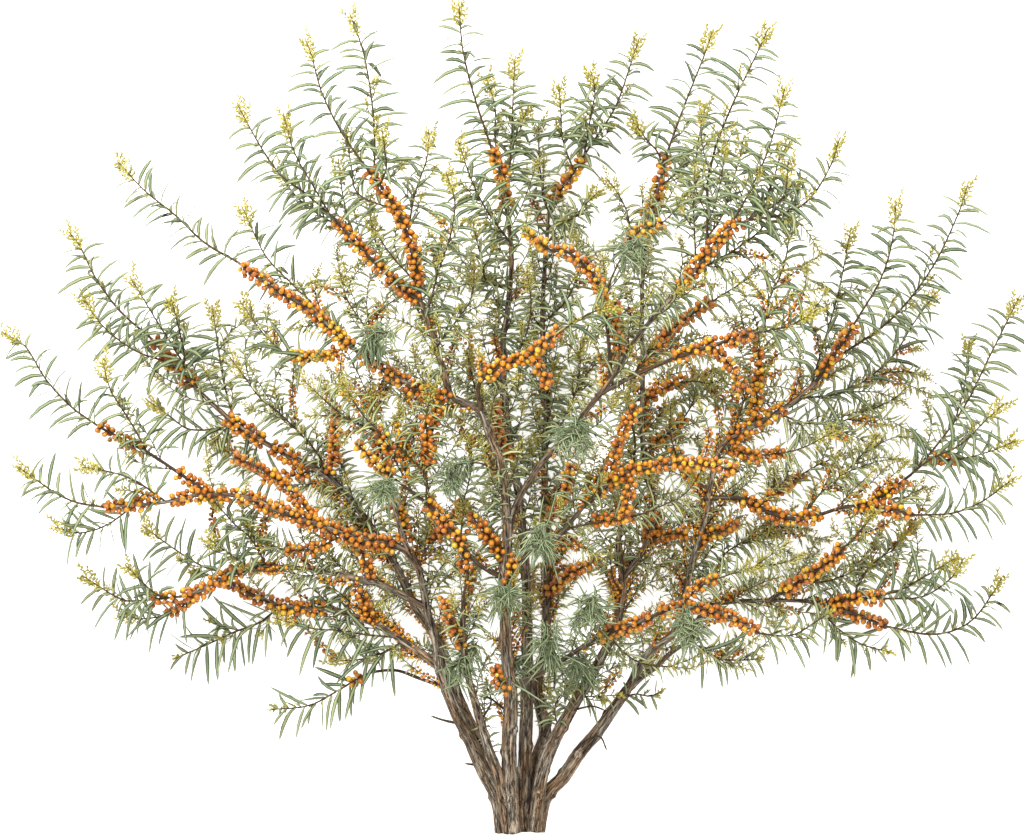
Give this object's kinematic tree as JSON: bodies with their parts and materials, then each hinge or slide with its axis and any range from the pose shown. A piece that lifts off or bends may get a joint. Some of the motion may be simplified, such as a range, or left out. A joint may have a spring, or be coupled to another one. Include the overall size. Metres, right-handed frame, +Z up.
{
  "type": "sea buckthorn bush",
  "caption": "Cut sea buckthorn bush lying on its back: bare basal stems fork into a wide fan of limbs with orange berry clusters and narrow grey-green leaves.",
  "frame": {"origin": "middle of the footprint, on the surface that the bush lies on", "axes": "+Y from the flat cut through the stems to the crown, +X across the fan, +Z up from the surface"},
  "size_m": [1.2838, 1.0376, 0.3975],
  "materials": {
    "bark": "rough grey-brown bark",
    "leaf": "matte silvery grey-green leaf",
    "berry_skin": "smooth glossy orange skin"
  },
  "bodies": {
    "root": {"woody_frame": "bark", "berry_cluster_L6": "berry_skin", "berry_cluster_L6in": "berry_skin", "berry_cluster_L8": "berry_skin", "berry_cluster_L9": "berry_skin", "berry_cluster_C0": "berry_skin", "berry_cluster_C1": "berry_skin", "berry_cluster_R1": "berry_skin", "berry_cluster_R2": "berry_skin", "berry_cluster_R5": "berry_skin", "berry_cluster_R10": "berry_skin", "berry_cluster_R7": "berry_skin", "berry_cluster_R13": "berry_skin", "berry_cluster_Rlow": "berry_skin", "berry_cluster_R12": "berry_skin", "berry_cluster_B": "berry_skin", "berry_cluster_L3": "berry_skin", "berry_cluster_L3c": "berry_skin", "berry_cluster_L2": "berry_skin", "berry_cluster_L5": "berry_skin", "berry_cluster_L4": "berry_skin", "leafy_spray_L0": "leaf", "leafy_spray_L1b": "leaf", "leafy_spray_L2": "leaf", "leafy_spray_L2c": "leaf", "leafy_spray_L3": "leaf", "leafy_spray_L4": "leaf", "leafy_spray_L5": "leaf", "leafy_spray_L5c": "leaf", "leafy_spray_L5d": "leaf", "leafy_spray_L6": "leaf", "leafy_spray_L6b": "leaf", "leafy_spray_L8": "leaf", "leafy_spray_L9": "leaf", "leafy_spray_L10": "leaf", "leafy_spray_L12": "leaf", "leafy_spray_N1": "leaf", "leafy_spray_C0": "leaf", "leafy_spray_C0b": "leaf", "leafy_spray_UM": "leaf", "leafy_spray_C1": "leaf", "leafy_spray_R1": "leaf", "leafy_spray_R3": "leaf", "leafy_spray_R3b": "leaf", "leafy_spray_R3d": "leaf", "leafy_spray_R5": "leaf", "leafy_spray_R2": "leaf", "leafy_spray_R10": "leaf", "leafy_spray_R10b": "leaf", "leafy_spray_R10c": "leaf", "leafy_spray_R11": "leaf", "leafy_spray_S7low": "leaf", "leafy_spray_Rlow": "leaf", "leafy_spray_R14": "leaf", "leafy_spray_R13": "leaf", "leafy_spray_R9": "leaf", "leafy_spray_B": "leaf", "leafy_spray_front1": "leaf", "leafy_spray_front2": "leaf"}
  },
  "joints": []
}
